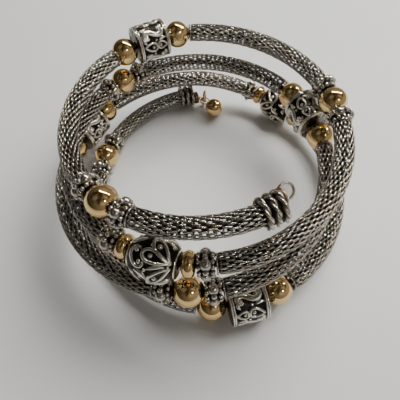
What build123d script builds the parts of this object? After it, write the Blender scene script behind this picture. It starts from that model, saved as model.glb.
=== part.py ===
from build123d import *
import os
from bisect import bisect_right
from math import cos, pi, radians, sin, tan

# Spiral coil bracelet, lying on its side with the coil's axis upright, in millimetres.
# Everything is threaded on one springy wire: tubes of knitted wire mesh with groups of beads between
# them. The wire rises from its tail, at the back on the surface, in about three and two thirds turns.

# The coil
COIL_RADIUS = 29.0
COIL_HEIGHT = 30.0
START_ANGLE = 91.0

# The route of the string of beads, from the tail up: turns made, reach from the coil's axis as a
# share of COIL_RADIUS, and lift above the surface as a share of COIL_HEIGHT.
ROUTE = [
    (0.0, 1.035, 0.102),
    (0.26, 0.925, 0.106),
    (0.51, 1.13, 0.143),
    (0.76, 1.09, 0.144),
    (0.885, 1.08, 0.16),
    (1.01, 1.07, 0.273),
    (1.26, 1.15, 0.28),
    (1.51, 1.10, 0.42),
    (1.76, 0.92, 0.49),
    (2.01, 1.025, 0.493),
    (2.26, 1.02, 0.563),
    (2.51, 1.02, 0.645),
    (2.76, 0.99, 0.727),
    (3.01, 1.07, 0.75),
    (3.26, 0.965, 0.78),
    (3.51, 0.905, 0.90),
    (3.76, 0.865, 1.0),
]

# The wire inside, and the play of what is threaded on it
WIRE_DIAMETER = 1.2
BORE_CLEARANCE = 0.4
END_GAP = 0.1
SCROLL_GAP = 0.4

# The knitted tubes, each one's length a share of SLEEVE_LENGTH, from the tail up
SLEEVE_DIAMETER = 4.1
SLEEVE_WALL = 0.5
SLEEVE_LENGTH = 45.0
SLEEVE_SHARES = [0.59, 1.01, 1.08, 0.87, 1.0, 0.97, 0.88, 0.98, 0.99, 0.83, 0.88, 0.57]
RUN_LENGTH = 5.8

# Polished round beads
GOLD_DIAMETER = 6.2
GOLD_LENGTH = 5.9
RONDELLE_DIAMETER = 5.1
RONDELLE_LENGTH = 2.5

# Beads with raised scrollwork: straight drums and larger round ones
DRUM_DIAMETER = 8.6
DRUM_LENGTH = 7.6
ROUND_DIAMETER = 9.2
ROUND_END_DIAMETER = 5.4
ROUND_LENGTH = 9.0
RIM_WIDTH = 0.7
RELIEF_HEIGHT = 0.35
SCROLL_DIAMETER = 3.5
SCROLL_LINE = 0.5
SCROLL_DOT = 0.9
DRUM_SCROLLS = 6
ROUND_SCROLLS = 7

# Flat spacers ringed with grains
DAISY_DIAMETER = 6.0
DAISY_LENGTH = 3.3
BIG_GRAIN = 2.2
SMALL_GRAIN = 1.1
EDGE_GRAIN = 0.9
BIG_GRAINS = 4
SMALL_GRAIN_SPREAD = 13.0

# Wire-wound caps at both ends. Each has a stub and an eye of wire, which lie off the cap's axis
# towards the inside of the coil.
CAP_DIAMETER = 6.1
CAP_WALL = 0.5
CAP_CLEARANCE = 0.15
CAP_OVERLAP = 3.4
CAP_PLATE = 0.6
CAP_RINGS = 3
CAP_RING_WIRE = 1.1
STUB_DIAMETER = 3.4
STUB_LENGTH = 1.1
STUB_OFFSET = 1.35
EYE_DIAMETER = 3.5
EYE_WIRE = 0.55
EYE_REACH = 1.0
EYE_OFFSET = 1.95
TAIL_EYE_DROP = 0.5
TAIL_EYE_TILT = 28.0
TAIL_EYE_PITCH = 34.0
TOP_EYE_SINK = 0.3
TOP_EYE_TILT = -45.0

# The jump ring through the tail's eye and the charm bead beside it, both on the surface
RING_DIAMETER = 4.1
RING_WIRE = 0.65
RING_AHEAD = 1.1
RING_ASIDE = 1.2
RING_TURN = 27.0
CHARM_DIAMETER = 5.0
CHARM_HEADING = -46.0
LOOP_DIAMETER = 2.8
LOOP_WIRE = 0.35
LOOP_CLEARANCE = 0.1

# How far soldered pieces run into each other
SOLDER_DEPTH = 0.15

# The groups of beads between the tubes, from the tail up: d is a daisy, g a gold bead, s a scroll
# drum, o a round scroll bead and r a rondelle.
GROUPS = ["dgd", "gsg", "drord", "gsg", "dgd", "gsg", "dgd", "drord", "dgd", "gsg", "dgd"]
BEAD_LENGTHS = {
    "d": DAISY_LENGTH,
    "g": GOLD_LENGTH,
    "s": DRUM_LENGTH,
    "o": ROUND_LENGTH,
    "r": RONDELLE_LENGTH,
}
WIDE_KINDS = "so"

# Sampling of the route, and the share of a run that each tangent arc takes
SAMPLES_PER_TURN = 360
SAMPLED_TURNS = 5
DIRECTION_STEP = 0.6
ARC_SHARE = 0.45


# The route worked out
def route_value(turn, column):
    """One column of the route, smooth between its rows and straight on past the last one."""
    turns = [row[0] for row in ROUTE]
    values = [row[column] for row in ROUTE]
    last = len(ROUTE) - 1
    slopes = []
    for i in range(last + 1):
        before = max(i - 1, 0)
        after = min(i + 1, last)
        slopes.append((values[after] - values[before]) / (turns[after] - turns[before]))
    if turn >= turns[last]:
        return values[last] + slopes[last] * (turn - turns[last])
    i = bisect_right(turns, turn) - 1
    span = turns[i + 1] - turns[i]
    u = (turn - turns[i]) / span
    leaving = (2 * u**3 - 3 * u**2 + 1) * values[i] + (u**3 - 2 * u**2 + u) * span * slopes[i]
    arriving = (3 * u**2 - 2 * u**3) * values[i + 1] + (u**3 - u**2) * span * slopes[i + 1]
    return leaving + arriving


def route_point(turn):
    angle = radians(START_ANGLE) + 2 * pi * turn
    reach = COIL_RADIUS * route_value(turn, 1)
    return Vector(reach * cos(angle), reach * sin(angle), COIL_HEIGHT * route_value(turn, 2))


samples = SAMPLES_PER_TURN * SAMPLED_TURNS
route_points = [route_point(i / SAMPLES_PER_TURN) for i in range(samples + 1)]
distances = [0.0]
for near, far in zip(route_points, route_points[1:]):
    distances.append(distances[-1] + (far - near).length)


def point_at(distance):
    """Point at a distance along the route from its first point."""
    i = min(max(bisect_right(distances, distance) - 1, 0), samples - 1)
    share = (distance - distances[i]) / (distances[i + 1] - distances[i])
    return route_points[i] + (route_points[i + 1] - route_points[i]) * share


def direction_at(distance):
    return (point_at(distance + DIRECTION_STEP) - point_at(distance - DIRECTION_STEP)).normalized()


def plane_across(distance, way=1):
    """Plane across the route with its Y side up, facing along it or, if way is -1, back down it."""
    facing = direction_at(distance) * way
    return Plane(origin=point_at(distance), x_dir=Vector(0, 0, 1).cross(facing), z_dir=facing)


def tube_corners(start, end):
    """Corners of the straight runs whose tangent arcs keep to the route from start to end."""
    count = max(round((end - start) / RUN_LENGTH), 1)
    half_run = (end - start) / count / 2
    corners = [point_at(start)]
    for i in range(count):
        near = start + 2 * half_run * i
        far = near + 2 * half_run
        leaving = point_at(near) + direction_at(near) * half_run
        arriving = point_at(far) - direction_at(far) * half_run
        corners.append((leaving + arriving) / 2)
    corners.append(point_at(end))
    return corners


def arc_radii(corners):
    """Radius at each corner but the ends. An end run has one arc alone, so it may take twice the share."""
    room = [(far - near).length for near, far in zip(corners, corners[1:])]
    room[0] *= 2
    room[-1] *= 2
    radii = []
    for i in range(1, len(corners) - 1):
        turn = radians((corners[i] - corners[i - 1]).get_angle(corners[i + 1] - corners[i]))
        radii.append(ARC_SHARE * min(room[i - 1], room[i]) / tan(turn / 2))
    return radii


def tube_along(start, end, outer, inner=0):
    """Round bar or tube along the route from start to end, and its length."""
    corners = tube_corners(start, end)
    radii = arc_radii(corners)
    print("radii", [round(radius, 1) for radius in radii])
    with BuildPart() as tube:
        with BuildLine():
            path = FilletPolyline(*corners, radius=radii)
        with BuildSketch(Plane(origin=path @ 0, z_dir=path % 0)):
            Circle(outer / 2)
            if inner > 0:
                Circle(inner / 2, mode=Mode.SUBTRACT)
        sweep()
    return tube.part, path.length


# Where each tube and bead starts along the route, which runs from eye to eye
eye_to_sleeve = EYE_REACH + STUB_LENGTH + CAP_PLATE + END_GAP
sleeve_spans = []
bead_places = []
reached = eye_to_sleeve
for i, share in enumerate(SLEEVE_SHARES):
    sleeve_spans.append((reached, reached + SLEEVE_LENGTH * share))
    reached += SLEEVE_LENGTH * share + END_GAP
    if i < len(GROUPS):
        for kind, following in zip(GROUPS[i], GROUPS[i][1:] + " "):
            bead_places.append((kind, reached + BEAD_LENGTHS[kind] / 2))
            reached += BEAD_LENGTHS[kind]
            reached += SCROLL_GAP if kind in WIDE_KINDS or following in WIDE_KINDS else END_GAP
string_start = sleeve_spans[0][0]
string_end = sleeve_spans[-1][1]

# Every bead's bore
bore = WIRE_DIAMETER + 2 * BORE_CLEARANCE

# Gold bead, round and cut flat at both ends
with BuildPart() as gold_model:
    Sphere(GOLD_DIAMETER / 2)
    Box(GOLD_DIAMETER, GOLD_DIAMETER, GOLD_LENGTH, mode=Mode.INTERSECT)
    Cylinder(bore / 2, GOLD_LENGTH, mode=Mode.SUBTRACT)

# Rondelle, a flat bead with a round edge
with BuildPart() as rondelle_model:
    edge_reach = (RONDELLE_DIAMETER - RONDELLE_LENGTH) / 2
    Cylinder(edge_reach, RONDELLE_LENGTH)
    Torus(edge_reach, RONDELLE_LENGTH / 2)
    Cylinder(bore / 2, RONDELLE_LENGTH, mode=Mode.SUBTRACT)


# Scroll beads
def raised_scrolls(envelope, count, ground_radius):
    """Ring of scrolls, each a round band about a dot, cut off at the envelope."""
    root = ground_radius / 2
    planes = []
    for i in range(count):
        angle = 2 * pi * i / count
        outward = Vector(cos(angle), sin(angle), 0)
        planes.append(Plane(origin=outward * root, x_dir=outward.cross(Vector(0, 0, 1)), z_dir=outward))
    with BuildPart() as relief:
        with BuildSketch(*planes):
            Circle(SCROLL_DIAMETER / 2)
            Circle(SCROLL_DIAMETER / 2 - SCROLL_LINE, mode=Mode.SUBTRACT)
            Circle(SCROLL_DOT / 2)
        extrude(amount=ground_radius)
        add(envelope, mode=Mode.INTERSECT)
    return relief.part


def barrel(diameter, end_diameter, length):
    """Barrel about the Z axis, bulging from its ends to its middle."""
    with BuildPart() as solid:
        with BuildSketch(Plane.XZ):
            with BuildLine():
                bottom = (end_diameter / 2, -length / 2)
                top = (end_diameter / 2, length / 2)
                ThreePointArc(bottom, (diameter / 2, 0), top)
                Polyline(top, (0, length / 2), (0, -length / 2), bottom)
            make_face()
        revolve(axis=Axis.Z)
    return solid.part


with BuildPart() as drum_envelope:
    Cylinder(DRUM_DIAMETER / 2, DRUM_LENGTH)

with BuildPart() as drum_model:
    drum_ground = DRUM_DIAMETER / 2 - RELIEF_HEIGHT
    rim_height = (DRUM_LENGTH - RIM_WIDTH) / 2
    Cylinder(drum_ground, DRUM_LENGTH)
    with Locations((0, 0, -rim_height), (0, 0, rim_height)):
        Cylinder(DRUM_DIAMETER / 2, RIM_WIDTH)
    add(raised_scrolls(drum_envelope.part, DRUM_SCROLLS, drum_ground))
    Cylinder(bore / 2, DRUM_LENGTH, mode=Mode.SUBTRACT)

with BuildPart() as round_model:
    sunk = 2 * RELIEF_HEIGHT
    rim_height = (ROUND_LENGTH - RIM_WIDTH) / 2
    add(barrel(ROUND_DIAMETER - sunk, ROUND_END_DIAMETER - sunk, ROUND_LENGTH))
    with Locations((0, 0, -rim_height), (0, 0, rim_height)):
        Cylinder(ROUND_END_DIAMETER / 2, RIM_WIDTH)
    round_envelope = barrel(ROUND_DIAMETER, ROUND_END_DIAMETER, ROUND_LENGTH)
    add(raised_scrolls(round_envelope, ROUND_SCROLLS, ROUND_DIAMETER / 2 - RELIEF_HEIGHT))
    Cylinder(bore / 2, ROUND_LENGTH, mode=Mode.SUBTRACT)

# Daisy spacer: a hub edged with beading and ringed with single big grains and pairs of small ones
with BuildPart() as daisy_model:
    hub_radius = (DAISY_DIAMETER - BIG_GRAIN) / 2
    edge_height = (DAISY_LENGTH - EDGE_GRAIN) / 2
    small_reach = (DAISY_DIAMETER - SMALL_GRAIN) / 2 - SOLDER_DEPTH
    Cylinder(hub_radius, 2 * edge_height)
    with Locations((0, 0, -edge_height), (0, 0, edge_height)):
        Torus(hub_radius, EDGE_GRAIN / 2)
    with PolarLocations(hub_radius, BIG_GRAINS):
        Sphere(BIG_GRAIN / 2)
    for spread in (-SMALL_GRAIN_SPREAD, SMALL_GRAIN_SPREAD):
        with PolarLocations(small_reach, BIG_GRAINS, start_angle=180 / BIG_GRAINS + spread):
            Sphere(SMALL_GRAIN / 2)
    Cylinder(bore / 2, DAISY_LENGTH, mode=Mode.SUBTRACT)

# End cap: its mouth looks down the Z axis and its origin is halfway along the covered tube
cap_bore = SLEEVE_DIAMETER + 2 * CAP_CLEARANCE
cap_mouth = -CAP_OVERLAP / 2
plate_inside = CAP_OVERLAP / 2 + END_GAP
plate_outside = plate_inside + CAP_PLATE
eye_height = plate_outside + STUB_LENGTH + EYE_REACH


def eye_plane(place, tilt, pitch=0.0):
    """Plane of an eye, level when both angles are 0. Tilt turns it about the cap's axis first."""
    level = cos(radians(pitch))
    normal = (sin(radians(tilt)) * level, cos(radians(tilt)) * level, sin(radians(pitch)))
    return Plane(origin=place, z_dir=normal)


def end_cap(inside, eye):
    """Cap of wound wire rings with its eye on a plane. Inside is the sign of X towards the coil's inside."""
    length = plate_outside - cap_mouth
    barrel_radius = cap_bore / 2 + CAP_WALL
    with BuildPart() as cap:
        with Locations((0, 0, cap_mouth)):
            Cylinder(barrel_radius, length, align=(Align.CENTER, Align.CENTER, Align.MIN))
        first = cap_mouth + CAP_RING_WIRE / 2
        pitch = (length - CAP_RING_WIRE) / (CAP_RINGS - 1)
        with Locations(*[(0, 0, first + pitch * i) for i in range(CAP_RINGS)]):
            Torus((CAP_DIAMETER - CAP_RING_WIRE) / 2, CAP_RING_WIRE / 2)
        hole_align = (Align.CENTER, Align.CENTER, Align.MAX)
        with Locations((0, 0, plate_inside)):
            Cylinder(cap_bore / 2, length, align=hole_align, mode=Mode.SUBTRACT)
        with Locations((inside * STUB_OFFSET, 0, plate_outside)):
            Cylinder(STUB_DIAMETER / 2, STUB_LENGTH, align=(Align.CENTER, Align.CENTER, Align.MIN))
        with Locations(eye):
            Torus((EYE_DIAMETER - EYE_WIRE) / 2, EYE_WIRE / 2)
    return cap.part


pieces = {}


def place(name, model, plane):
    """Put a copy of a model piece on a plane, as a piece of its own."""
    with BuildPart(plane) as piece:
        add(model)
    pieces[name] = piece.part


# The wire and the tubes on it
wire, wire_length = tube_along(string_start, string_end, WIRE_DIAMETER)
pieces["core_wire"] = wire
print("wire", wire.volume, "section times length", pi * WIRE_DIAMETER**2 / 4 * wire_length)

sleeve_bore = SLEEVE_DIAMETER - 2 * SLEEVE_WALL
sleeve_section = pi * (SLEEVE_DIAMETER**2 - sleeve_bore**2) / 4
for i, (start, end) in enumerate(sleeve_spans):
    sleeve, sleeve_length = tube_along(start, end, SLEEVE_DIAMETER, sleeve_bore)
    pieces[f"mesh_sleeve_{i + 1:02}"] = sleeve
    print("sleeve", sleeve.volume, "section times length", sleeve_section * sleeve_length)

# The beads
BEAD_MODELS = {
    "d": ("daisy_spacer", daisy_model.part),
    "g": ("gold_bead", gold_model.part),
    "s": ("scroll_drum", drum_model.part),
    "o": ("scroll_round", round_model.part),
    "r": ("gold_rondelle", rondelle_model.part),
}
counts = dict.fromkeys(BEAD_MODELS, 0)
for kind, distance in bead_places:
    counts[kind] += 1
    node, model = BEAD_MODELS[kind]
    place(f"{node}_{counts[kind]:02}", model, plane_across(distance))

# The caps, which face opposite ways along the route, so the inside is on opposite sides of them
tail_plane = plane_across(string_start + CAP_OVERLAP / 2, -1)
tail_eye_place = Vector(-EYE_OFFSET, -TAIL_EYE_DROP, eye_height)
tail_eye = eye_plane(tail_eye_place, TAIL_EYE_TILT, TAIL_EYE_PITCH)
place("end_cap_tail", end_cap(-1, tail_eye), tail_plane)
top_eye = eye_plane((EYE_OFFSET, 0, eye_height - TOP_EYE_SINK), TOP_EYE_TILT)
place("end_cap_top", end_cap(1, top_eye), plane_across(string_end - CAP_OVERLAP / 2))

# The jump ring stands upright through the tail's eye
ring_middle = tail_plane.from_local_coords(tail_eye_place + Vector(RING_ASIDE, 0, RING_AHEAD))
ring_middle.Z = RING_DIAMETER / 2
turn = radians(RING_TURN)
ring_across = tail_plane.x_dir * cos(turn) + tail_plane.z_dir * sin(turn)
ring_plane = Plane(origin=ring_middle, x_dir=ring_across, z_dir=ring_across.cross(Vector(0, 0, 1)))
ring_reach = (RING_DIAMETER - RING_WIRE) / 2
with BuildPart() as jump_ring:
    with Locations(ring_plane):
        Torus(ring_reach, RING_WIRE / 2)
pieces["jump_ring"] = jump_ring.part

# The charm bead's loop lies flat round the near side of the jump ring, pulled towards the bead
heading = Vector(cos(radians(CHARM_HEADING)), sin(radians(CHARM_HEADING)), 0)
loop_slack = LOOP_DIAMETER / 2 - LOOP_WIRE - RING_WIRE / 2 - LOOP_CLEARANCE
loop_middle = ring_middle - ring_across * ring_reach + heading * loop_slack
loop_middle.Z = CHARM_DIAMETER / 2
loop_to_bead = (LOOP_DIAMETER + CHARM_DIAMETER) / 2 - SOLDER_DEPTH
with BuildPart() as charm_bead:
    with Locations(loop_middle):
        Torus((LOOP_DIAMETER - LOOP_WIRE) / 2, LOOP_WIRE / 2)
    with Locations(loop_middle + heading * loop_to_bead):
        Sphere(CHARM_DIAMETER / 2)
pieces["charm_bead"] = charm_bead.part

# The finished bracelet, its origin at the middle of its footprint on the surface
box = Compound(list(pieces.values())).bounding_box()
to_origin = Location((-box.center().X, -box.center().Y, -box.min.Z))
print("box", box.size, "moved by", to_origin.position)

os.makedirs("parts", exist_ok=True)
for name, piece in pieces.items():
    finished = piece.moved(to_origin)
    finished.label = name
    export_step(finished, f"parts/{name}.step")
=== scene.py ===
from math import cos, pi, radians, sin

import bpy
import numpy as np
from mathutils import Matrix, Vector


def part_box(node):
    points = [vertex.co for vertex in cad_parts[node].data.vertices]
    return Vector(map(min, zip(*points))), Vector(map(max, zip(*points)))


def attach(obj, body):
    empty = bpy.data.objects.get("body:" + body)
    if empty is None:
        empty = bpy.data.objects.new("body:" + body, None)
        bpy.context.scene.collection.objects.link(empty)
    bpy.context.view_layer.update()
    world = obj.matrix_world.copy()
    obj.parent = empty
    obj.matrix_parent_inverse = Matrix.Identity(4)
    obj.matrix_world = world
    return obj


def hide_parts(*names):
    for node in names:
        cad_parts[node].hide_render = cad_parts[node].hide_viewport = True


# Spiral coil bracelet, its surfaces. Sizes are in millimetres and become metres in Shape.mesh and
# matrix_at.

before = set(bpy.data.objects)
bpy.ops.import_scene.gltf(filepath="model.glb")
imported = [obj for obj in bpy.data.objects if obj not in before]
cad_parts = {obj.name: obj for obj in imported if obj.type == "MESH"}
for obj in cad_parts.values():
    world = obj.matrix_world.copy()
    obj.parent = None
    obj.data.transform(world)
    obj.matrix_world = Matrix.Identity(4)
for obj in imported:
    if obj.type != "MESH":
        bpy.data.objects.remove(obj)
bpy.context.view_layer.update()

MM = 0.001
TURN = 2 * pi

# The coil's route, the same rows as the frame was built from. A row: turns, and shares of
# COIL_RADIUS and COIL_HEIGHT.
COIL_RADIUS = 29.0
COIL_HEIGHT = 30.0
START_ANGLE = 91.0
ROUTE = np.array([
    (0.0, 1.035, 0.102),
    (0.26, 0.925, 0.106),
    (0.51, 1.13, 0.143),
    (0.76, 1.09, 0.144),
    (0.885, 1.08, 0.16),
    (1.01, 1.07, 0.273),
    (1.26, 1.15, 0.28),
    (1.51, 1.10, 0.42),
    (1.76, 0.92, 0.49),
    (2.01, 1.025, 0.493),
    (2.26, 1.02, 0.563),
    (2.51, 1.02, 0.645),
    (2.76, 0.99, 0.727),
    (3.01, 1.07, 0.75),
    (3.26, 0.965, 0.78),
    (3.51, 0.905, 0.90),
    (3.76, 0.865, 1.0),
])

# What is threaded on it: the tubes, each a share of SLEEVE_LENGTH long, and between them groups of
# beads by the letters of BEAD_NODES
END_GAP = 0.1
SCROLL_GAP = 0.4
SLEEVE_DIAMETER = 4.1
SLEEVE_LENGTH = 45.0
SLEEVE_SHARES = [0.59, 1.01, 1.08, 0.87, 1.0, 0.97, 0.88, 0.98, 0.99, 0.83, 0.88, 0.57]
GROUPS = ["dgd", "gsg", "drord", "gsg", "dgd", "gsg", "dgd", "drord", "dgd", "gsg", "dgd"]
BEAD_LENGTHS = {"d": 3.3, "g": 5.9, "s": 7.6, "o": 9.0, "r": 2.5}
BEAD_NODES = {
    "d": "daisy_spacer",
    "g": "gold_bead",
    "s": "scroll_drum",
    "o": "scroll_round",
    "r": "gold_rondelle",
}
WIDE_KINDS = "so"
BORE = 2.0

# End caps, jump ring and charm
CAP_DIAMETER = 6.1
CAP_OVERLAP = 3.4
CAP_PLATE = 0.6
CAP_RINGS = 3
CAP_RING_WIRE = 1.1
STUB_DIAMETER = 3.4
STUB_LENGTH = 1.1
STUB_OFFSET = 1.35
EYE_DIAMETER = 3.5
EYE_WIRE = 0.55
EYE_REACH = 1.0
EYE_OFFSET = 1.95
TAIL_EYE_DROP = 0.5
TAIL_EYE_TILT = 28.0
TAIL_EYE_PITCH = 34.0
TOP_EYE_SINK = 0.3
TOP_EYE_TILT = -45.0
RING_DIAMETER = 4.1
RING_WIRE = 0.65
RING_AHEAD = 1.1
RING_ASIDE = 1.2
RING_TURN = 27.0
CHARM_DIAMETER = 5.0
CHARM_HEADING = -46.0
LOOP_DIAMETER = 2.8
LOOP_WIRE = 0.35
LOOP_CLEARANCE = 0.1
SOLDER_DEPTH = 0.15


# The route, read off at even steps
def route_column(turns, column):
    """A column of the route's table at the turns given, by smooth curves through its rows."""
    rows = ROUTE[:, 0]
    values = ROUTE[:, column]
    slopes = np.empty(len(rows))
    slopes[1:-1] = (values[2:] - values[:-2]) / (rows[2:] - rows[:-2])
    slopes[0] = (values[1] - values[0]) / (rows[1] - rows[0])
    slopes[-1] = (values[-1] - values[-2]) / (rows[-1] - rows[-2])
    i = np.clip(np.searchsorted(rows, turns, side="right") - 1, 0, len(rows) - 2)
    span = rows[i + 1] - rows[i]
    u = (turns - rows[i]) / span
    leaving = (2 * u**3 - 3 * u**2 + 1) * values[i] + (u**3 - 2 * u**2 + u) * span * slopes[i]
    arriving = (3 * u**2 - 2 * u**3) * values[i + 1] + (u**3 - u**2) * span * slopes[i + 1]
    smooth = leaving + arriving
    return np.where(turns > rows[-1], values[-1] + slopes[-1] * (turns - rows[-1]), smooth)


SAMPLES_PER_TURN = 360
SAMPLED_TURNS = 4
route_turns = np.arange(SAMPLED_TURNS * SAMPLES_PER_TURN) / SAMPLES_PER_TURN
route_angles = radians(START_ANGLE) + TURN * route_turns
route_reach = COIL_RADIUS * route_column(route_turns, 1)
route_points = np.stack([
    route_reach * np.cos(route_angles),
    route_reach * np.sin(route_angles),
    COIL_HEIGHT * route_column(route_turns, 2),
], axis=1)
route_steps = np.linalg.norm(np.diff(route_points, axis=0), axis=1)
route_distances = np.concatenate([[0.0], np.cumsum(route_steps)])


def points_at(distances):
    """Points along the route, straight on before its first one."""
    distances = np.asarray(distances, float)
    inside = np.maximum(distances, 0)
    columns = [np.interp(inside, route_distances, route_points[:, i]) for i in range(3)]
    start = (route_points[1] - route_points[0]) / route_steps[0]
    return np.stack(columns, axis=-1) + np.minimum(distances, 0)[..., None] * start


def unit(vectors):
    return vectors / np.linalg.norm(vectors, axis=-1, keepdims=True)


DIRECTION_STEP = 0.6


def frames_at(distances, way=1):
    """Places with sideways, upward and facing directions. They face along the route, or back if way
    is -1."""
    distances = np.asarray(distances)
    ahead = points_at(distances + DIRECTION_STEP)
    behind = points_at(distances - DIRECTION_STEP)
    facing = unit(ahead - behind) * way
    sideways = unit(np.cross(np.array([0.0, 0.0, 1.0]), facing))
    return points_at(distances) + shift, sideways, np.cross(facing, sideways), facing


# Where each tube and bead lies along the route
eye_to_sleeve = EYE_REACH + STUB_LENGTH + CAP_PLATE + END_GAP
sleeve_spans = []
bead_places = []
reached = eye_to_sleeve
for i, share in enumerate(SLEEVE_SHARES):
    sleeve_spans.append((reached, reached + SLEEVE_LENGTH * share))
    reached += SLEEVE_LENGTH * share + END_GAP
    if i < len(GROUPS):
        for kind, following in zip(GROUPS[i], GROUPS[i][1:] + " "):
            bead_places.append((kind, reached + BEAD_LENGTHS[kind] / 2))
            reached += BEAD_LENGTHS[kind]
            reached += SCROLL_GAP if kind in WIDE_KINDS or following in WIDE_KINDS else END_GAP
string_start = sleeve_spans[0][0]
string_end = sleeve_spans[-1][1]

# The frame's origin is under the middle of the whole, so the first gold bead tells the shift to it
low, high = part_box("gold_bead_01")
first_gold = next(distance for kind, distance in bead_places if kind == "g")
shift = (np.array(low) + np.array(high)) / 2 / MM - points_at(first_gold)


# Shader nodes
class Value:
    """A shader node's output, with arithmetic."""

    def __init__(self, tree, socket):
        self.tree = tree
        self.socket = socket

    def node(self, kind, inputs, output=0, **settings):
        """Output of a new node, with its inputs by name or number and its settings by name."""
        made = self.tree.nodes.new(kind)
        for name, setting in settings.items():
            setattr(made, name, setting)
        for key, value in inputs.items():
            if isinstance(value, Value):
                self.tree.links.new(value.socket, made.inputs[key])
            else:
                made.inputs[key].default_value = value
        return Value(self.tree, made.outputs[output])

    def math(self, operation, first, second):
        return self.node("ShaderNodeMath", {0: first, 1: second}, operation=operation)

    def __add__(self, other):
        return self.math("ADD", self, other)

    __radd__ = __add__

    def __sub__(self, other):
        return self.math("SUBTRACT", self, other)

    def __rsub__(self, other):
        return self.math("SUBTRACT", other, self)

    def __mul__(self, other):
        return self.math("MULTIPLY", self, other)

    __rmul__ = __mul__

    def __truediv__(self, other):
        return self.math("DIVIDE", self, other)

    def __pow__(self, other):
        return self.math("POWER", self, other)

    def clamped(self):
        """The value, held between 0 and 1."""
        return self.math("MINIMUM", self.math("MAXIMUM", self, 0.0), 1.0)

    def blend(self, dark, bright):
        """Colour from dark at 0 to bright at 1."""
        return self.node("ShaderNodeMix", {0: self, 6: dark, 7: bright}, output=2, data_type="RGBA")


def coordinates(tree, kind):
    """Coordinates of a kind that the texture coordinate node names, such as Object."""
    return Value(tree, tree.nodes.new("ShaderNodeTexCoord").outputs[kind])


def new_material(name):
    """A material with its principled shader and the object's own coordinates, in millimetres."""
    material = bpy.data.materials.new(name)
    material.use_nodes = True
    tree = material.node_tree
    where = coordinates(tree, "Object")
    where = where.node("ShaderNodeVectorMath", {0: where, 1: (1 / MM,) * 3}, operation="MULTIPLY")
    return material, tree.nodes["Principled BSDF"], where


def noise(where, scale, detail=3.0, roughness=0.5):
    inputs = {"Vector": where, "Scale": scale, "Detail": detail, "Roughness": roughness}
    return where.node("ShaderNodeTexNoise", inputs)


def link(value, shader, name):
    value.tree.links.new(value.socket, shader.inputs[name])


BUMP_DEPTH = 0.05 * MM


def bump(shader, height, strength):
    inputs = {"Height": height, "Strength": strength, "Distance": BUMP_DEPTH}
    link(height.node("ShaderNodeBump", inputs), shader, "Normal")


# Oxidised metal, whose tone also carries painted light and shade: how far its patches and grain
# shift the tone, how much rougher the grain and the dark, painted-shade places are, how sharply
# and strongly its tint lies in patches, and how deep the grain is
WEAR = 0.25
GRAIN_ROUGHNESS = 0.2
DARK_ROUGHNESS = 0.25
TINT_CONTRAST = 5.0
TINT_SHARE = 0.6
GRAIN_DEPTH = 0.35


def metal(name, dark, bright, roughness, tint=None, tone_power=1.0):
    """Metal, dark where the mesh's tone is low and bright where it is high. The tone is painted
    shade in the depths and on the sides and painted light on the crests, partly patina.
    """
    material, shader, where = new_material(name)
    # The tone attribute: painted light and shade, partly patina in the hollows
    tone = where.node("ShaderNodeAttribute", {}, output=2, attribute_name="tone")
    cloud = noise(where, scale=0.35)
    grain = noise(where, scale=6.0, detail=4.0)
    level = (tone ** tone_power + (cloud - 0.5) * WEAR + (grain - 0.5) * WEAR).clamped()
    colour = level.blend(dark, bright)
    if tint is not None:
        warm = ((noise(where, scale=0.5, detail=2.0) - 0.5) * TINT_CONTRAST).clamped()
        inputs = {0: warm * TINT_SHARE, 6: colour, 7: tint}
        settings = {"data_type": "RGBA", "blend_type": "MULTIPLY"}
        colour = warm.node("ShaderNodeMix", inputs, output=2, **settings)
    link(colour, shader, "Base Color")
    rough = (grain - 0.5) * GRAIN_ROUGHNESS + roughness + (1.0 - level) * DARK_ROUGHNESS
    link(rough, shader, "Roughness")
    shader.inputs["Metallic"].default_value = 1.0
    bump(shader, grain, GRAIN_DEPTH)
    return material


GOLD_ROUGHNESS = 0.03
SCRATCH_ROUGHNESS = 0.04
CLOUD_ROUGHNESS = 0.02
SCRATCH_DEPTH = 0.04


def gold_material():
    material, shader, where = new_material("polished_gold")
    cloud = noise(where, scale=0.25)
    scratches = noise(where, scale=9.0, detail=5.0, roughness=0.65)
    link(cloud.blend((0.74, 0.49, 0.20, 1), (0.88, 0.65, 0.33, 1)), shader, "Base Color")
    rough = GOLD_ROUGHNESS + SCRATCH_ROUGHNESS * scratches + CLOUD_ROUGHNESS * cloud
    link(rough, shader, "Roughness")
    shader.inputs["Metallic"].default_value = 1.0
    bump(shader, scratches, SCRATCH_DEPTH)
    return material


knit_metal = metal(
    "knitted_mesh", dark=(0.012, 0.010, 0.008, 1), bright=(0.66, 0.61, 0.535, 1),
    roughness=0.12, tint=(1.0, 0.83, 0.64, 1), tone_power=1.8)
scroll_metal = metal(
    "scrollwork", dark=(0.012, 0.011, 0.010, 1), bright=(0.95, 0.9, 0.8, 1),
    roughness=0.15, tint=(1.0, 0.9, 0.75, 1))
grain_metal = metal(
    "granulation", dark=(0.012, 0.010, 0.008, 1), bright=(0.64, 0.60, 0.53, 1),
    roughness=0.14, tint=(1.0, 0.88, 0.72, 1))
cap_metal = metal(
    "wound_caps", dark=(0.015, 0.012, 0.010, 1), bright=(0.62, 0.56, 0.48, 1),
    roughness=0.18, tint=(1.0, 0.8, 0.6, 1))
stub_metal = metal(
    "cap_stub", dark=(0.03, 0.018, 0.010, 1), bright=(0.34, 0.23, 0.13, 1), roughness=0.3)
# The core wire is dark, painted shade for the inside of the tubes
wire_shade_metal = metal(
    "core_wire", dark=(0.03, 0.027, 0.024, 1), bright=(0.2, 0.18, 0.16, 1), roughness=0.4)
gold = gold_material()


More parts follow.
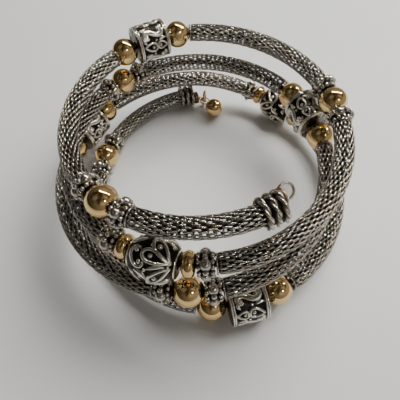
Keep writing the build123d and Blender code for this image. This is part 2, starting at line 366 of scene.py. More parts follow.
# Mesh building
class Shape:
    """Points in millimetres, faces and a tone for each point, gathered into one mesh."""

    def __init__(self):
        self.points = []
        self.tones = []
        self.faces = []
        self.count = 0

    def grid(self, points, tones, closed_u=False, closed_v=False):
        """Quads over a grid of points[u][v], joined up where it is closed."""
        points = np.asarray(points, float)
        rows, columns = points.shape[:2]
        tones = np.broadcast_to(tones, (rows, columns))
        u = np.arange(rows if closed_u else rows - 1)
        v = np.arange(columns if closed_v else columns - 1)
        u, v = np.meshgrid(u, v, indexing="ij")
        after_u = (u + 1) % rows
        after_v = (v + 1) % columns
        corners = [(u, v), (after_u, v), (after_u, after_v), (u, after_v)]
        quads = np.stack([row * columns + column for row, column in corners], axis=-1)
        self.faces.append(quads.reshape(-1, 4) + self.count)
        self.points.append(points.reshape(-1, 3))
        self.tones.append(np.array(tones, float).reshape(-1))
        self.count += rows * columns

    def mesh(self, name):
        """Smooth Blender mesh in metres, which keeps the tones as an attribute."""
        points = np.concatenate(self.points) * MM
        faces = np.concatenate(self.faces)
        data = bpy.data.meshes.new(name)
        data.vertices.add(len(points))
        data.vertices.foreach_set("co", points.astype(np.float32).ravel())
        data.loops.add(faces.size)
        data.loops.foreach_set("vertex_index", faces.ravel().astype(np.int32))
        data.polygons.add(len(faces))
        data.polygons.foreach_set("loop_start", np.arange(0, faces.size, 4, dtype=np.int32))
        data.update(calc_edges=True)
        data.validate()
        data.polygons.foreach_set("use_smooth", np.ones(len(data.polygons), bool))
        # The tones, painted light and shade with some patina, become the tone attribute
        layer = data.attributes.new("tone", "FLOAT", "POINT")
        layer.data.foreach_set("value", np.concatenate(self.tones).astype(np.float32))
        data.update()
        return data


def piece(name, data, material, nodes, matrix=None):
    """Object of its own for a mesh, which stands for CAD nodes. Its place is in its mesh."""
    if matrix is not None:
        data = data.copy()
        data.transform(matrix)
    data.materials.append(material)
    made = bpy.data.objects.new(name, data)
    bpy.context.collection.objects.link(made)
    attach(made, "root")
    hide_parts(*nodes)
    return made


def tube(shape, path, outward, radius, sides, tones=1.0, closed=False, front=None, flank=1.0):
    """Round wire along a path, with a direction away from it given at each point. Its tone falls to
    a share, flank, on its sides, a painted shade that rounds it. It is round as far as front, an
    angle, and flat at its back."""
    path = np.asarray(path, float)
    if closed:
        tangents = np.roll(path, -1, axis=0) - np.roll(path, 1, axis=0)
    else:
        tangents = np.gradient(path, axis=0)
    tangents = unit(tangents)
    across = unit(np.cross(tangents, outward))
    away = np.cross(across, tangents)
    angles = TURN * np.arange(sides) / sides if front is None else np.linspace(-front, front, sides)
    ring = across[:, None] * np.sin(angles)[:, None] + away[:, None] * np.cos(angles)[:, None]
    # Painted shade: the tone falls from the wire's crest to the flank share on its sides
    crest = flank + (1 - flank) * np.maximum(np.cos(angles), 0)
    tones = np.broadcast_to(np.asarray(tones, float).reshape(-1, 1) * crest, (len(path), sides))
    shape.grid(path[:, None] + ring * radius, tones, closed_u=closed, closed_v=True)


def lathe(shape, outline, sides, tones=1.0):
    """Turned form about the Z axis, from an outline of (radius, height) points."""
    outline = np.asarray(outline, float)
    angles = TURN * np.arange(sides) / sides
    radius = outline[:, 0][:, None]
    points = np.stack([
        radius * np.cos(angles),
        radius * np.sin(angles),
        np.broadcast_to(outline[:, 1][:, None], (len(outline), sides)),
    ], axis=-1)
    tones = np.broadcast_to(np.asarray(tones, float).reshape(-1, 1), (len(outline), sides))
    shape.grid(points, tones, closed_v=True)


def ball(shape, centre, radius, sides, root=None):
    """Round grain. Its tone darkens towards a bead's axis, to nothing at the root's distance, a
    painted shade where it sits on the bead.
    """
    rings = sides // 2 + 1
    polar = pi * np.arange(rings) / (rings - 1)
    angles = TURN * np.arange(sides) / sides
    across = np.sin(polar)[:, None] * radius
    points = np.stack([
        across * np.cos(angles),
        across * np.sin(angles),
        np.broadcast_to(np.cos(polar)[:, None] * radius, (rings, sides)),
    ], axis=-1)
    points += np.asarray(centre, float)
    tones = 1.0
    if root is not None:
        reach = np.hypot(points[..., 0], points[..., 1])
        tones = np.clip((reach - root) / (np.hypot(centre[0], centre[1]) + radius - root), 0, 1)
    shape.grid(points, tones, closed_v=True)


def matrix_at(distance, spin=0.0, way=1):
    """Placing matrix for a bead whose mesh lies on its own Z axis."""
    where, sideways, upward, facing = frames_at(distance, way)
    placed = Matrix.Identity(4)
    for column, axis in enumerate((sideways, upward, facing)):
        for row in range(3):
            placed[row][column] = axis[row]
    placed.translation = Vector(where * MM)
    return placed @ Matrix.Rotation(spin, 4, "Z")


# Knitted mesh tubes. Their wire runs along the tube, hooks over to the next row and runs on, so
# that each row is a line of dashes, half a pitch ahead of the row beside it.
KNIT_WIRE = 0.36
KNIT_ROWS = 28
KNIT_PITCH = 2.4
KNIT_SIDES = 5
KNIT_FRONT = radians(115)
# Tone kept on the wires' sides, painted shade
KNIT_FLANK_SHADE = 0.2
# Places along one stitch, in rows from the middle of its dash, closest where the dash bends down
KNIT_STEPS = np.array([-0.4, -0.31, -0.23, -0.17, 0.17, 0.23, 0.31, 0.4, 0.5])
# How unevenly the rows lie along the tube and how far some are sunk
ROW_SLIP = 0.05
ROW_SINK = 0.02
# How straight the dash runs along the tube, how far back and how deep the hook between two dashes
# goes, and how flat and long the dash is
HOOK_STRAIGHT = 0.95
HOOK_BACK = 2.1
HOOK_DEPTH = 0.16
DASH_FLAT = 1.7
DASH_LONG = 0.35
# The wire's mean tone, and how much lighter its raised dash and darker its sunk hook are: painted
# light and shade, with some patina in the hooks
KNIT_TONE = 0.5
DASH_SHADING = 0.45
# The tube's ends: how far threads are laid past them, the fewest points that make a thread, and how
# the tube is drawn in
KNIT_PAST = 0.2
KNIT_FEWEST = 4
PINCH_LENGTH = 1.6
PINCH_DEPTH = 0.22
RIM_WIRE = 0.36
RIM_DIAMETER = 4.1
RIM_TONE = 0.8
RIM_STEPS = 48
RIM_SIDES = 8


def knit(start, end, seed):
    """Tube of knitted wire between two places on the route, drawn in a little at its ends."""
    shape = Shape()
    pitch = (end - start) / round((end - start) / KNIT_PITCH)
    outside = (SLEEVE_DIAMETER - KNIT_WIRE) / 2
    random = np.random.default_rng(seed)
    row_slip = random.normal(0, ROW_SLIP, KNIT_ROWS)
    row_sink = random.normal(0, ROW_SINK, KNIT_ROWS)
    for thread in range(KNIT_ROWS // 2):
        whole = np.arange(-KNIT_ROWS, int(2 * (end - start) / pitch) + 2)
        rows = (whole[:, None] + KNIT_STEPS).ravel()
        phase = TURN * rows
        row = np.repeat(whole % KNIT_ROWS, len(KNIT_STEPS))
        angle = TURN * (rows - HOOK_STRAIGHT * np.sin(phase) / TURN) / KNIT_ROWS
        forward = (rows + HOOK_BACK * np.sin(phase) / TURN) / 2
        along = start + pitch * (thread + forward + row_slip[row])
        inside = (along > start - KNIT_PAST) & (along < end + KNIT_PAST)
        along = np.clip(along, start + KNIT_WIRE / 2, end - KNIT_WIRE / 2)
        lift = np.clip(DASH_FLAT * np.cos(phase) + DASH_LONG, -1, 1)
        from_end = np.minimum(along - start, end - along)
        pinch = PINCH_DEPTH * np.clip(1 - from_end / PINCH_LENGTH, 0, 1) ** 2
        radius = outside + HOOK_DEPTH * (lift - 1) - pinch + np.minimum(row_sink[row], 0)
        centres, sideways, upward = frames_at(along)[:3]
        outward = sideways * np.cos(angle)[:, None] + upward * np.sin(angle)[:, None]
        path = centres + outward * radius[:, None]
        # Painted light on the raised dashes and painted shade in the sunk hooks
        tones = KNIT_TONE + DASH_SHADING * lift
        edges = np.flatnonzero(np.diff(np.concatenate([[0], inside.astype(int), [0]])))
        for first, last in zip(edges[::2], edges[1::2]):
            if last - first >= KNIT_FEWEST:
                part = slice(first, last)
                tube(
                    shape, path[part], outward[part], KNIT_WIRE / 2, KNIT_SIDES, tones[part],
                    front=KNIT_FRONT, flank=KNIT_FLANK_SHADE)
    return shape


def rim(shape, distance):
    """Closed ring of wire round a tube's end."""
    centre, sideways, upward = frames_at(distance)[:3]
    angles = TURN * np.arange(RIM_STEPS) / RIM_STEPS
    outward = sideways * np.cos(angles)[:, None] + upward * np.sin(angles)[:, None]
    path = centre + outward * (RIM_DIAMETER - RIM_WIRE) / 2
    tube(shape, path, outward, RIM_WIRE / 2, RIM_SIDES, RIM_TONE, closed=True)


for i, (start, end) in enumerate(sleeve_spans):
    shape = knit(start, end, i)
    for distance in (start + RIM_WIRE / 2, end - RIM_WIRE / 2):
        if string_start + CAP_OVERLAP < distance < string_end - CAP_OVERLAP:
            rim(shape, distance)
    node = f"mesh_sleeve_{i + 1:02}"
    piece(f"knit_{i + 1:02}", shape.mesh(node), knit_metal, [node])


# Plain polished beads. The round ones' bores are dished in by HOLE_DISH at both ends.
GOLD_DIAMETER = 6.2
RONDELLE_DIAMETER = 5.1
HOLE_DISH = 0.3
BEAD_SIDES = 64
GOLD_RINGS = 41
RONDELLE_RINGS = 25

gold_shape = Shape()
dished = BEAD_LENGTHS["g"] / 2 - HOLE_DISH
heights = np.linspace(-BEAD_LENGTHS["g"] / 2, BEAD_LENGTHS["g"] / 2, GOLD_RINGS)
belly = np.sqrt(np.maximum((GOLD_DIAMETER / 2) ** 2 - heights**2, 0))
outline = list(zip(np.maximum(belly, BORE / 2), heights))
lathe(gold_shape, [(BORE / 2, -dished)] + outline + [(BORE / 2, dished)], BEAD_SIDES)
gold_mesh = gold_shape.mesh("gold_bead")

rondelle_shape = Shape()
edge = BEAD_LENGTHS["r"] / 2
turned = np.linspace(-pi / 2, pi / 2, RONDELLE_RINGS)
outline = [(RONDELLE_DIAMETER / 2 - edge + edge * cos(a), edge * sin(a)) for a in turned]
lathe(rondelle_shape, [(BORE / 2, -edge)] + outline + [(BORE / 2, edge)], BEAD_SIDES)
rondelle_mesh = rondelle_shape.mesh("gold_rondelle")

# Daisy spacers
DAISY_DIAMETER = 6.0
BIG_GRAIN = 2.2
SMALL_GRAIN = 1.1
EDGE_GRAIN = 0.9
BIG_GRAINS = 4
EDGE_GRAINS = 12
SMALL_SPREAD = 13.0
HUB_SIDES = 32
BIG_SIDES = 20
SMALL_SIDES = 14
EDGE_SIDES = 12

daisy_shape = Shape()
hub = (DAISY_DIAMETER - BIG_GRAIN) / 2
edge_height = (BEAD_LENGTHS["d"] - EDGE_GRAIN) / 2
small_reach = (DAISY_DIAMETER - SMALL_GRAIN) / 2
outline = [
    (BORE / 2, -edge_height),
    (hub, -edge_height),
    (hub, edge_height),
    (BORE / 2, edge_height),
]
# The hub is dark, painted shade between the grains
lathe(daisy_shape, outline, HUB_SIDES, 0.0)
for i in range(BIG_GRAINS):
    angle = TURN * i / BIG_GRAINS
    ball(daisy_shape, (hub * cos(angle), hub * sin(angle), 0), BIG_GRAIN / 2, BIG_SIDES, hub)
    for spread in (-SMALL_SPREAD, SMALL_SPREAD):
        beside = angle + pi / BIG_GRAINS + radians(spread)
        centre = (small_reach * cos(beside), small_reach * sin(beside), 0)
        ball(daisy_shape, centre, SMALL_GRAIN / 2, SMALL_SIDES, hub)
for height in (-edge_height, edge_height):
    for i in range(EDGE_GRAINS):
        angle = TURN * (i + 0.5) / EDGE_GRAINS
        centre = (hub * cos(angle), hub * sin(angle), height)
        ball(daisy_shape, centre, EDGE_GRAIN / 2, EDGE_SIDES, hub - EDGE_GRAIN / 2)
daisy_mesh = daisy_shape.mesh("daisy_spacer")

# Scroll beads: a dark ground, painted shade that stands for the openwork's holes, with raised bands
# and dots laid on it. A place on one is given as millimetres round its middle and millimetres along
# its axis.
RELIEF_HEIGHT = 0.35
RIM_WIDTH = 0.7
DRUM_DIAMETER = 8.6
ROUND_DIAMETER = 9.2
ROUND_END_DIAMETER = 5.4
# A scroll's points, and how late it curls
SCROLL_STEPS = 56
SCROLL_POWER = 1.7
# A teardrop's points, how full it is for its breadth, and its ball's place as a share of its length
TEARDROP_STEPS = 44
TEARDROP_FULLNESS = 0.65
BALL_PLACE = -0.2
# An open band's width at its ends and the share of it that widens, and the same for its very tip
BAND_END = 0.4
BAND_WIDENING = 3
TIP_END = 0.2
TIP_WIDENING = 40
# A leaf's points, its bend as a share of its breadth, how blunt it is, and half its tips' width
LEAF_STEPS = 15
LEAF_BEND = 0.25
LEAF_BLUNTNESS = 0.8
LEAF_TIP = 0.03
# A dot's sides, and how far its tone falls below the ground. The dot darkens towards its foot,
# painted shade.
DOT_SIDES = 14
DOT_ROOT = 0.05
# Sides and rings of the ground
GROUND_SIDES = 72
GROUND_RINGS = 41
# Across a band: share of its width, share of RELIEF_HEIGHT and tone. The tone is painted light and
# shade: dark at the band's foot, a painted highlight on its rounded edges and lower on its middle,
# which is partly patina.
BAND_PROFILE = [
    (-0.5, -0.3, 0.0),
    (-0.48, 0.3, 0.5),
    (-0.42, 0.7, 0.95),
    (-0.26, 0.95, 0.8),
    (0.0, 1.0, 0.6),
    (0.26, 0.95, 0.8),
    (0.42, 0.7, 0.95),
    (0.48, 0.3, 0.5),
    (0.5, -0.3, 0.0),
]
# Across a leaf: share of half its width, share of RELIEF_HEIGHT and tone. The tone rises with the
# height, so the leaf's foot is dark with painted shade.
LEAF_PROFILE = [
    (-1.0, -0.3, 0.0),
    (-0.9, 0.7, 0.7),
    (-0.5, 1.0, 1.0),
    (0.2, 0.9, 0.8),
    (0.85, 0.5, 0.8),
    (1.0, -0.3, 0.0),
]


def drum_radius(height):
    return np.full_like(height, DRUM_DIAMETER / 2 - RELIEF_HEIGHT)


def round_radius(height):
    """Belly of the round bead, an arc through its ends and its middle."""
    half = BEAD_LENGTHS["o"] / 2
    drop = (ROUND_DIAMETER - ROUND_END_DIAMETER) / 2
    arc = (half**2 + drop**2) / (2 * drop)
    return np.sqrt(arc**2 - height**2) - arc + ROUND_DIAMETER / 2 - RELIEF_HEIGHT


def on_bead(radius_at, around, height, lift):
    """Points above a bead's ground, from places on it."""
    middle = radius_at(np.zeros(1))[0] + RELIEF_HEIGHT
    angle = around / middle
    radius = radius_at(height) + lift
    return np.stack([radius * np.cos(angle), radius * np.sin(angle), height], axis=-1)


def scroll_line(reach, curl, lean, middle, same_way):
    """Line that curls up towards both ends like a C, or like an S if not same_way, and its two
    eyes."""
    share = np.linspace(-1, 1, SCROLL_STEPS)
    heading = curl * np.abs(share) ** SCROLL_POWER
    if same_way:
        heading *= np.sign(share)
    heading += radians(lean)
    step = 2 * reach / len(share)
    around = np.cumsum(np.cos(heading)) * step
    height = np.cumsum(np.sin(heading)) * step
    around += middle[0] - around.mean()
    height += middle[1] - height.mean()
    eye_reach = reach / (curl * SCROLL_POWER)
    eyes = []
    for end, side in ((0, 1 if same_way else -1), (-1, 1)):
        inward = side * eye_reach
        turned = heading[end]
        eyes.append((around[end] - inward * sin(turned), height[end] + inward * cos(turned)))
    return around, height, eyes


def teardrop_line(length, breadth, lean, middle):
    """Closed line of a teardrop with its point towards the lean, and the place of a ball in its
    round end."""
    angles = TURN * np.arange(TEARDROP_STEPS) / TEARDROP_STEPS
    along = length / 2 * np.cos(angles)
    across = breadth * TEARDROP_FULLNESS * np.sin(angles) * np.sin(angles / 2)
    turned = radians(lean)
    around = middle[0] + along * cos(turned) - across * sin(turned)
    height = middle[1] + along * sin(turned) + across * cos(turned)
    ball_reach = BALL_PLACE * length
    ball_place = (middle[0] + ball_reach * cos(turned), middle[1] + ball_reach * sin(turned))
    return around, height, ball_place


def band(shape, radius_at, around, height, width, closed=False):
    """Raised band along a line on a bead, rounded across, and narrow at its ends if it is open."""
    if closed:
        step_around = np.roll(around, -1) - np.roll(around, 1)
        step_height = np.roll(height, -1) - np.roll(height, 1)
        widths = np.full(len(around), width)
    else:
        step_around = np.gradient(around)
        step_height = np.gradient(height)
        from_end = np.minimum(np.arange(len(around)), np.arange(len(around))[::-1]) / len(around)
        widths = width * (BAND_END + (1 - BAND_END) * np.minimum(from_end * BAND_WIDENING, 1))
        widths = widths * np.minimum(from_end * TIP_WIDENING + TIP_END, 1)
    length = np.hypot(step_around, step_height)
    points = []
    tones = []
    for side, lift, tone in BAND_PROFILE:
        across = side * widths / length
        places = (around - step_height * across, height + step_around * across)
        points.append(on_bead(radius_at, *places, lift * RELIEF_HEIGHT))
        tones.append(np.full(len(around), tone))
    shape.grid(np.stack(points, axis=1), np.stack(tones, axis=1), closed_u=closed)


def leaf(shape, radius_at, place, length, breadth, lean):
    """Solid leaf, pointed at both ends."""
    share = np.linspace(0, 1, LEAF_STEPS)
    along = (share - 0.5) * length
    bend = LEAF_BEND * breadth * np.sin(pi * share)
    half = breadth / 2 * np.sin(pi * share) ** LEAF_BLUNTNESS + LEAF_TIP
    turned = radians(lean)
    points = []
    tones = []
    for side, lift, tone in LEAF_PROFILE:
        across = bend + side * half
        around = place[0] + along * cos(turned) - across * sin(turned)
        height = place[1] + along * sin(turned) + across * cos(turned)
        points.append(on_bead(radius_at, around, height, lift * RELIEF_HEIGHT))
        tones.append(np.full(len(share), tone))
    shape.grid(np.stack(points, axis=1), np.stack(tones, axis=1))


def dot(shape, radius_at, around, height, size):
    """Round grain sunk a little into the ground."""
    lift = RELIEF_HEIGHT - size / 2
    centre = on_bead(radius_at, np.array([around]), np.array([height]), lift)[0]
    ball(shape, centre, size / 2, DOT_SIDES, np.hypot(centre[0], centre[1]) - DOT_ROOT)


def rimmed_ground(radius_at, length, rim_radius):
    """Ground of a scroll bead, dark as painted shade for the openwork's holes, with a bright double
    rim at each end.
    """
    shape = Shape()
    half = length / 2
    heights = np.linspace(-half, half, GROUND_RINGS)
    outline = [(BORE / 2, -half)] + list(zip(radius_at(heights), heights)) + [(BORE / 2, half)]
    # Tone 0: the ground's painted shade
    lathe(shape, outline, GROUND_SIDES, 0.0)
    # Radius below the rim's, height in from the end and tone. The tone is low at the rim's foot and
    # in the groove between its two rings, painted shade.
    section = [
        (2 * RELIEF_HEIGHT, RIM_WIDTH, 0.1),
        (0.06, RIM_WIDTH, 0.7),
        (0.0, RIM_WIDTH - 0.1, 1.0),
        (0.0, RIM_WIDTH - 0.24, 1.0),
        (0.16, RIM_WIDTH - 0.32, 0.2),
        (0.16, RIM_WIDTH - 0.4, 0.2),
        (0.0, RIM_WIDTH - 0.48, 1.0),
        (0.0, 0.1, 1.0),
        (0.1, 0.0, 0.8),
        (rim_radius - BORE / 2, 0.0, 0.3),
    ]
    tones = [tone for below, inward, tone in section]
    for side in (-1, 1):
        ring = [(rim_radius - below, side * (half - inward)) for below, inward, tone in section]
        lathe(shape, ring, GROUND_SIDES, tones)
    return shape


# The patterns, each repeated round its bead. Scrolls: reach, curl, lean, place, whether both ends
# curl the same way, and width. Teardrops: length, breadth, lean, place, width and ball. Leaves:
# place, length, breadth and lean. Dots: place and size.
DRUM_REPEATS = 4
DRUM_PATTERN = {
    "scrolls": [(4.9, 4.7, 55, (3.4, 0.0), False, 1.35)],
    "teardrops": [
        (3.0, 2.0, 78, (0.35, 1.15), 0.55, 0.85),
        (2.3, 1.7, -95, (0.3, -1.75), 0.5, 0.75),
    ],
    "leaves": [
        ((1.85, 2.3), 1.5, 0.7, 20),
        ((4.95, -2.3), 1.5, 0.7, 200),
        ((5.0, 2.0), 1.9, 0.8, 100),
        ((1.75, -1.95), 1.9, 0.8, -80),
    ],
    "dots": [((1.7, -0.4), 0.6), ((5.15, 0.4), 0.6)],
    "eye_dot": 1.1,
}
ROUND_REPEATS = 3
ROUND_PATTERN = {
    "scrolls": [(4.3, 3.3, 22, (6.6, -2.35), True, 0.85)],
    "teardrops": [
        (5.2, 2.0, 39, (4.4, 2.0), 0.65, 1.1),
        (4.9, 2.2, 78, (6.0, 1.25), 0.7, 1.0),
        (4.9, 1.8, 140, (9.65, 2.1), 0.65, 0.95),
    ],
    "leaves": [
        ((3.0, -2.5), 2.8, 1.2, 112),
        ((2.9, 0.0), 2.4, 0.5, -5),
        ((9.9, -1.1), 2.8, 1.1, 62),
        ((10.9, -3.2), 1.9, 0.8, 15),
        ((1.7, 3.2), 1.5, 0.6, 100),
        ((11.6, 3.3), 1.5, 0.7, 10),
        ((7.9, 1.55), 3.2, 0.75, 108),
    ],
    "dots": [((6.75, 2.6), 0.6), ((7.25, 3.45), 0.6), ((8.75, -0.3), 0.65), ((0.9, -1.1), 0.7)],
    "eye_dot": 0.95,
}


def scroll_bead(radius_at, length, rim_diameter, diameter, repeats, pattern):
    """Ground and rims of a scroll bead, with its pattern repeated round it."""
    shape = rimmed_ground(radius_at, length, rim_diameter / 2)
    for i in range(repeats):
        begin = pi * diameter / repeats * i
        for reach, curl, lean, (along, up), same_way, width in pattern["scrolls"]:
            around, height, eyes = scroll_line(reach, curl, lean, (begin + along, up), same_way)
            band(shape, radius_at, around, height, width)
            for eye in eyes:
                dot(shape, radius_at, *eye, pattern["eye_dot"])
        for drop_length, breadth, lean, (along, up), width, ball_size in pattern["teardrops"]:
            around, height, eye = teardrop_line(drop_length, breadth, lean, (begin + along, up))
            band(shape, radius_at, around, height, width, closed=True)
            dot(shape, radius_at, *eye, ball_size)
        for (along, up), leaf_length, breadth, lean in pattern["leaves"]:
            leaf(shape, radius_at, (begin + along, up), leaf_length, breadth, lean)
        for (along, up), size in pattern["dots"]:
            dot(shape, radius_at, begin + along, up, size)
    return shape


drum_shape = scroll_bead(
    drum_radius, BEAD_LENGTHS["s"], DRUM_DIAMETER, DRUM_DIAMETER,
    DRUM_REPEATS, DRUM_PATTERN)
drum_mesh = drum_shape.mesh("scroll_drum")
round_shape = scroll_bead(
    round_radius, BEAD_LENGTHS["o"], ROUND_END_DIAMETER, ROUND_DIAMETER,
    ROUND_REPEATS, ROUND_PATTERN)
round_mesh = round_shape.mesh("scroll_round")

# The beads on the string, each turned SPIN_STEP radians further than the last one of its kind
BEAD_MESHES = {
    "d": (daisy_mesh, grain_metal, "granulation"),
    "g": (gold_mesh, gold, "polished_gold"),
    "s": (drum_mesh, scroll_metal, "scrollwork"),
    "o": (round_mesh, scroll_metal, "scrollwork"),
    "r": (rondelle_mesh, gold, "polished_gold"),
}
SPIN_STEP = 2.4
counts = dict.fromkeys(BEAD_MESHES, 0)
for kind, distance in bead_places:
    counts[kind] += 1
    data, material, slot = BEAD_MESHES[kind]
    number = f"{counts[kind]:02}"
    node = f"{BEAD_NODES[kind]}_{number}"
    placed = matrix_at(distance, SPIN_STEP * counts[kind])
    piece(f"{node}_look", data, material, [node], placed)


# End caps. Their mouth looks down the Z axis, and their origin is halfway along the covered tube.
CAP_TWISTS = 4
CAP_STRAND = 0.31
# How far each strand's middle lies from the ring's, as a share of its radius
STRAND_REACH = 0.8
# Painted shade on the strands: the tone kept on their sides, their mean tone, and how much lighter
# they are where they swing out and darker where they dip in
STRAND_FLANK_SHADE = 0.3
STRAND_TONE = 0.65
STRAND_SHADING = 0.35
BARREL_OVER_TUBE = 0.3
BARREL_BEVEL = 0.2
# The barrel is dark, painted shade between the rings
BARREL_SHADE_TONE = 0.05
BARREL_SIDES = 48
RING_STEPS = 168
WIRE_SIDES = 12
EYE_TONE = 0.85
cap_mouth = -CAP_OVERLAP / 2
plate_outside = CAP_OVERLAP / 2 + END_GAP + CAP_PLATE
eye_height = plate_outside + STUB_LENGTH + EYE_REACH
CIRCLE_STEPS = 64
# Any direction that lies on no circle's axis
ASKEW = np.array([0.3, 0.5, 0.8])


def circle(middle, normal, radius):
    """Points of a circle, and the directions from its middle to them."""
    normal = unit(np.asarray(normal, float))
    across = unit(np.cross(normal, ASKEW))
    around = TURN * np.arange(CIRCLE_STEPS) / CIRCLE_STEPS
    outward = across * np.cos(around)[:, None] + np.cross(normal, across) * np.sin(around)[:, None]
    return middle + outward * radius, outward


def windings():
    """Barrel, dark as painted shade between the rings, wound with rings of two twisted strands that
    are shaded on their sides and where they dip in.
    """
    shape = Shape()
    barrel = SLEEVE_DIAMETER / 2 + BARREL_OVER_TUBE
    outline = [
        (barrel - BARREL_BEVEL, cap_mouth + BARREL_BEVEL),
        (barrel, cap_mouth + BARREL_BEVEL),
        (barrel, plate_outside),
        (0, plate_outside),
    ]
    lathe(shape, outline, BARREL_SIDES, BARREL_SHADE_TONE)
    pitch = (plate_outside - cap_mouth - CAP_RING_WIRE) / (CAP_RINGS - 1)
    swing = CAP_STRAND * STRAND_REACH
    around = TURN * np.arange(RING_STEPS) / RING_STEPS
    outward = np.stack([np.cos(around), np.sin(around), np.zeros_like(around)], axis=-1)
    for i in range(CAP_RINGS):
        for half_turn in (0, pi):
            phase = CAP_TWISTS * around + half_turn + i
            radius = (CAP_DIAMETER - CAP_RING_WIRE) / 2 + swing * np.cos(phase)
            path = outward * radius[:, None]
            path[:, 2] = cap_mouth + CAP_RING_WIRE / 2 + pitch * i + swing * np.sin(phase)
            # Painted shade where the strands dip in, painted light where they swing out
            tones = STRAND_TONE + STRAND_SHADING * np.cos(phase)
            tube(
                shape, path, outward, CAP_STRAND, WIRE_SIDES, tones,
                closed=True, flank=STRAND_FLANK_SHADE)
    return shape


def stub(inside):
    """Short rod that carries the eye, with a seam round it."""
    shape = Shape()
    radius = STUB_DIAMETER / 2
    # Radius below the rod's, height above the plate and tone
    section = [
        (0.2, -0.1, 0.1),
        (0.0, 0.1, 0.5),
        (0.0, 0.4, 0.8),
        (0.12, 0.5, 0.1),
        (0.0, 0.6, 0.7),
        (0.0, STUB_LENGTH - 0.2, 1.0),
        (0.2, STUB_LENGTH, 0.8),
        (radius, STUB_LENGTH, 0.3),
    ]
    outline = [(radius - below, plate_outside + up) for below, up, tone in section]
    lathe(shape, outline, BARREL_SIDES, [tone for below, up, tone in section])
    shape.points[-1] += (inside * STUB_OFFSET, 0, 0)
    return shape


def end_cap(name, distance, way, eye_place, tilt, pitch=0.0):
    """Cap facing along the route, or back if way is -1, with its eye on the side of the coil's
    inside."""
    level = cos(radians(pitch))
    normal = (sin(radians(tilt)) * level, cos(radians(tilt)) * level, sin(radians(pitch)))
    eye = Shape()
    path, outward = circle(np.array(eye_place), normal, (EYE_DIAMETER - EYE_WIRE) / 2)
    tube(eye, path, outward, EYE_WIRE / 2, WIRE_SIDES, EYE_TONE, closed=True)
    placed = matrix_at(distance, 0.0, way)
    for label, shape, material in (
        ("windings", windings(), cap_metal),
        ("stub", stub(way), stub_metal),
        ("eye", eye, cap_metal),
    ):
        made = f"end_cap_{name}_{label}"
        piece(made, shape.mesh(made), material, [f"end_cap_{name}"], placed)
    return placed


tail_eye = (-EYE_OFFSET, -TAIL_EYE_DROP, eye_height)
tail_placed = end_cap(
    "tail", string_start + CAP_OVERLAP / 2, -1, tail_eye, TAIL_EYE_TILT, TAIL_EYE_PITCH)
top_eye = (EYE_OFFSET, 0, eye_height - TOP_EYE_SINK)
end_cap("top", string_end - CAP_OVERLAP / 2, 1, top_eye, TOP_EYE_TILT)

# Jump ring and charm bead, both on the surface
RING_SIDES = 16
upward = np.array([0.0, 0.0, 1.0])
ring_local = Vector(tail_eye) + Vector((RING_ASIDE, 0, RING_AHEAD))
ring_middle = np.array(tail_placed @ (ring_local * MM)) / MM
ring_middle[2] = RING_DIAMETER / 2 + shift[2]
turned = Vector((cos(radians(RING_TURN)), 0, sin(radians(RING_TURN))))
ring_across = np.array(tail_placed.to_3x3() @ turned)
ring_reach = (RING_DIAMETER - RING_WIRE) / 2
path, outward = circle(ring_middle, np.cross(ring_across, upward), ring_reach)
ring = Shape()
tube(ring, path, outward, RING_WIRE / 2, RING_SIDES, closed=True)
piece("jump_ring_look", ring.mesh("jump_ring"), gold, ["jump_ring"])

heading = np.array([cos(radians(CHARM_HEADING)), sin(radians(CHARM_HEADING)), 0.0])
slack = LOOP_DIAMETER / 2 - LOOP_WIRE - RING_WIRE / 2 - LOOP_CLEARANCE
loop_middle = ring_middle - ring_across * ring_reach + heading * slack
loop_middle[2] = CHARM_DIAMETER / 2 + shift[2]
path, outward = circle(loop_middle, upward, (LOOP_DIAMETER - LOOP_WIRE) / 2)
charm = Shape()
tube(charm, path, outward, LOOP_WIRE / 2, WIRE_SIDES, closed=True)
charm_reach = (LOOP_DIAMETER + CHARM_DIAMETER) / 2 - SOLDER_DEPTH
ball(charm, loop_middle + heading * charm_reach, CHARM_DIAMETER / 2, BEAD_SIDES)
piece("charm_look", charm.mesh("charm_bead"), gold, ["charm_bead"])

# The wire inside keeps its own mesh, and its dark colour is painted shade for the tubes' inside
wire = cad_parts["core_wire"]
wire.data.materials.clear()
wire.data.materials.append(wire_shade_metal)


# Plain pale floor
FLOOR_SIZE = 1.6
FLOOR_ROUGHNESS = 0.55


def floor_material():
    material, shader, where = new_material("floor")
    cloud = noise(where, scale=0.02, detail=4.0)
    link(cloud.blend((0.82, 0.82, 0.80, 1), (0.88, 0.88, 0.86, 1)), shader, "Base Color")
    shader.inputs["Roughness"].default_value = FLOOR_ROUGHNESS
    return material


floor_data = bpy.data.meshes.new("floor")
reach = FLOOR_SIZE / 2
corners = [(-reach, -reach, 0), (reach, -reach, 0), (reach, reach, 0), (-reach, reach, 0)]
floor_data.from_pydata(corners, [], [(0, 1, 2, 3)])
floor_data.materials.append(floor_material())
floor = bpy.data.objects.new("floor", floor_data)
bpy.context.collection.objects.link(floor)


def area_light(name, place, size, power, colour):
    """Lamp that faces the bracelet. Its place and size are in metres."""
    data = bpy.data.lights.new(name, "AREA")
    data.shape = "RECTANGLE"
    data.size = size[0]
    data.size_y = size[1]
    data.energy = power
    data.color = colour
    lamp = bpy.data.objects.new(name, data)
    bpy.context.collection.objects.link(lamp)
    lamp.location = place
    lamp.rotation_euler = (-Vector(place)).to_track_quat("-Z", "Y").to_euler()
    return lamp


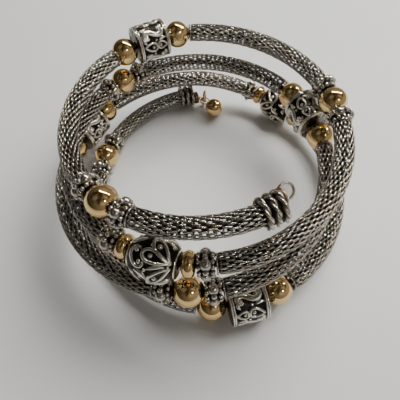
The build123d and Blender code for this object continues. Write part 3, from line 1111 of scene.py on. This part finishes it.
# A row of lamps from behind to the right and one in front give the metal its glints, and a soft box
# gives the floor its soft shadows. A lamp's row: place and power.
GLINT_SIZE = (0.026, 0.026)
GLINT_COLOUR = (1.0, 0.95, 0.86)
LAMPS = [
    ((-0.06, 0.32, 0.45), 0.35),
    ((0.02, 0.29, 0.47), 0.5),
    ((0.09, 0.26, 0.48), 0.6),
    ((0.19, 0.25, 0.43), 0.7),
    ((0.28, 0.22, 0.41), 0.7),
    ((0.36, 0.21, 0.34), 0.7),
]
for i, (place, power) in enumerate(LAMPS):
    lamp = area_light(f"lamp_{i + 1}", place, GLINT_SIZE, power, GLINT_COLOUR)
    lamp.visible_diffuse = False
front_lamp = area_light(
    "front_lamp", place=(0.26, -0.25, 0.41), size=(0.03, 0.03), power=0.3,
    colour=(1.0, 0.97, 0.92))
front_lamp.visible_diffuse = False
soft_box = area_light(
    "soft_box", place=(0.26, 0.29, 0.46), size=(0.6, 0.35), power=5.6,
    colour=(1.0, 0.995, 0.985))
soft_box.visible_glossy = False

# The room's light, plain round the horizon, softly uneven overhead as a room's ceiling is, and
# brighter from the right. The unevenness comes in over UNEVEN_WITHIN of height above UNEVEN_FROM.
ROOM_DARK = (0.12, 0.10, 0.08, 1)
ROOM_BRIGHT = (1.0, 0.98, 0.95, 1)
ROOM_CONTRAST = 4.0
UNEVEN_FROM = 0.4
UNEVEN_WITHIN = 0.25
ROOM_STRENGTH = 0.34
RIGHT_STRENGTH = 0.28
world = bpy.data.worlds.new("studio")
world.use_nodes = True
backdrop = world.node_tree.nodes["Background"]
direction = coordinates(world.node_tree, "Generated")
to_right = direction.node("ShaderNodeSeparateXYZ", {0: direction})
to_top = direction.node("ShaderNodeSeparateXYZ", {0: direction}, output=2)
overhead = ((to_top - UNEVEN_FROM) / UNEVEN_WITHIN).clamped()
ceiling = noise(direction, scale=1.6, detail=2.0)
room = ((ceiling - 0.5) * overhead * ROOM_CONTRAST + 0.5).clamped()
link(room.blend(ROOM_DARK, ROOM_BRIGHT), backdrop, "Color")
link(to_right * RIGHT_STRENGTH + ROOM_STRENGTH, backdrop, "Strength")
bpy.context.scene.world = world

# The camera in the route's own millimetres, its angle below the horizon and its roll, and its
# focal length in the photo's pixels
CAMERA_PLACE = (-1.45, -53.4, 79.7)
CAMERA_DOWN = 58.6
CAMERA_ROLL = -1.5
PHOTO_SIZE = 400
FOCAL_PIXELS = 368
SENSOR = 36.0

camera_data = bpy.data.cameras.new("camera")
camera_data.sensor_width = SENSOR
camera_data.lens = SENSOR * FOCAL_PIXELS / PHOTO_SIZE
camera_data.clip_start = 0.005
camera = bpy.data.objects.new("camera", camera_data)
bpy.context.collection.objects.link(camera)
camera.location = Vector((np.array(CAMERA_PLACE) + shift) * MM)
lifted = Matrix.Rotation(radians(90 - CAMERA_DOWN), 4, "X")
rolled = Matrix.Rotation(radians(CAMERA_ROLL), 4, "Z")
camera.rotation_euler = (lifted @ rolled).to_euler()
bpy.context.scene.camera = camera
